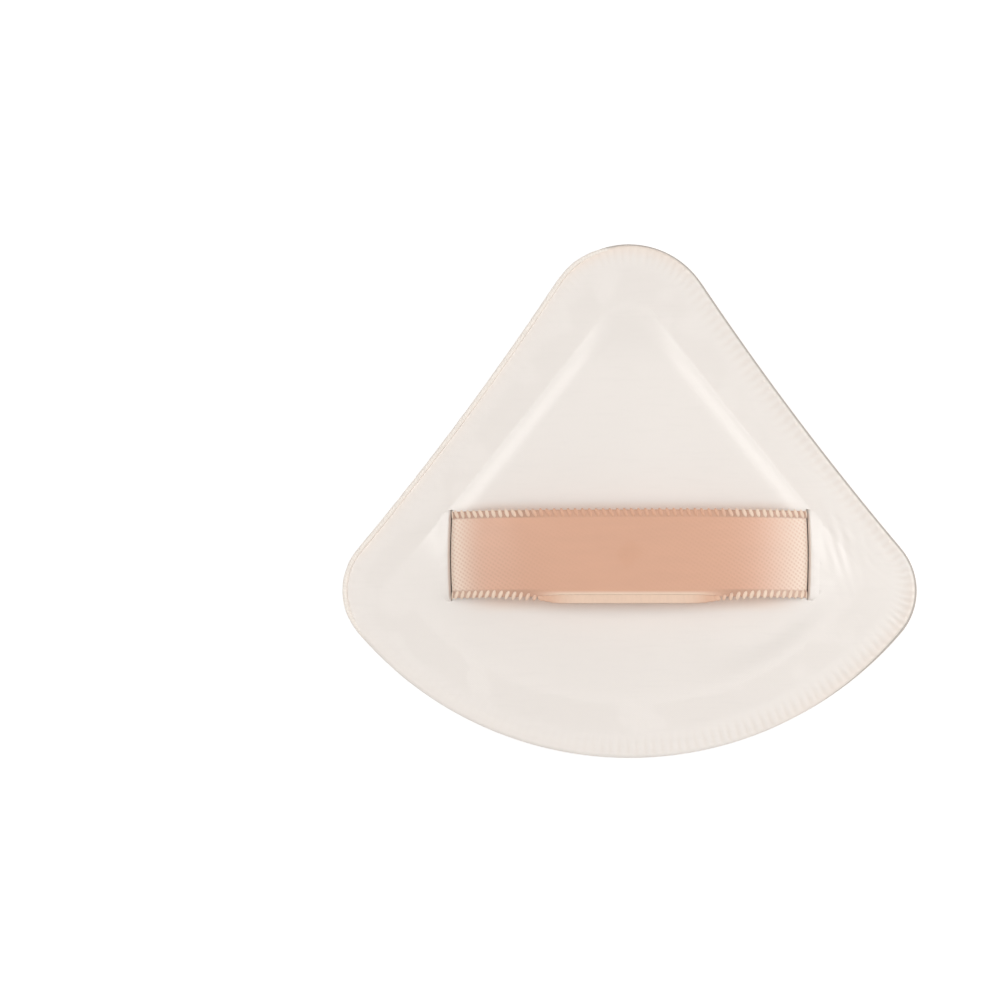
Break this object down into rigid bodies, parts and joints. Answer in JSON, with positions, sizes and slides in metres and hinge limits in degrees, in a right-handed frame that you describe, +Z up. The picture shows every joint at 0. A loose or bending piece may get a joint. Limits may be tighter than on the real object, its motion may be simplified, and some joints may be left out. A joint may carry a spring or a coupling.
{
  "type": "powder puff",
  "caption": "Fan-shaped powder puff with a velour face over foam, a satin back with a raised middle, a piped edge and a ribbon across the back for the fingers.",
  "frame": {"origin": "on the resting plane, under the middle of the puff's outline", "axes": "+Z up from the powdering face to the ribbon, +Y towards the rounded tip, +X along the ribbon"},
  "size_m": [0.0782, 0.0702, 0.0155],
  "materials": {
    "velour": "matte short-pile velour, warm beige",
    "core_foam": "open-cell foam, off-white, matte",
    "pad_foam": "firm foam, white, matte",
    "satin": "off-white satin cloth, soft sheen",
    "piping": "cream rolled edge, low sheen",
    "ribbon": "satin ribbon, peach beige, soft sheen, looped edges",
    "adhesive": "translucent fusible film"
  },
  "bodies": {
    "root": {"face_cover": "velour", "foam_core": "core_foam", "back_pad": "pad_foam", "back_cover": "satin", "edge_piping": "piping", "finger_ribbon": "ribbon", "tail_patch_right": "adhesive", "tail_patch_left": "adhesive"}
  },
  "joints": []
}
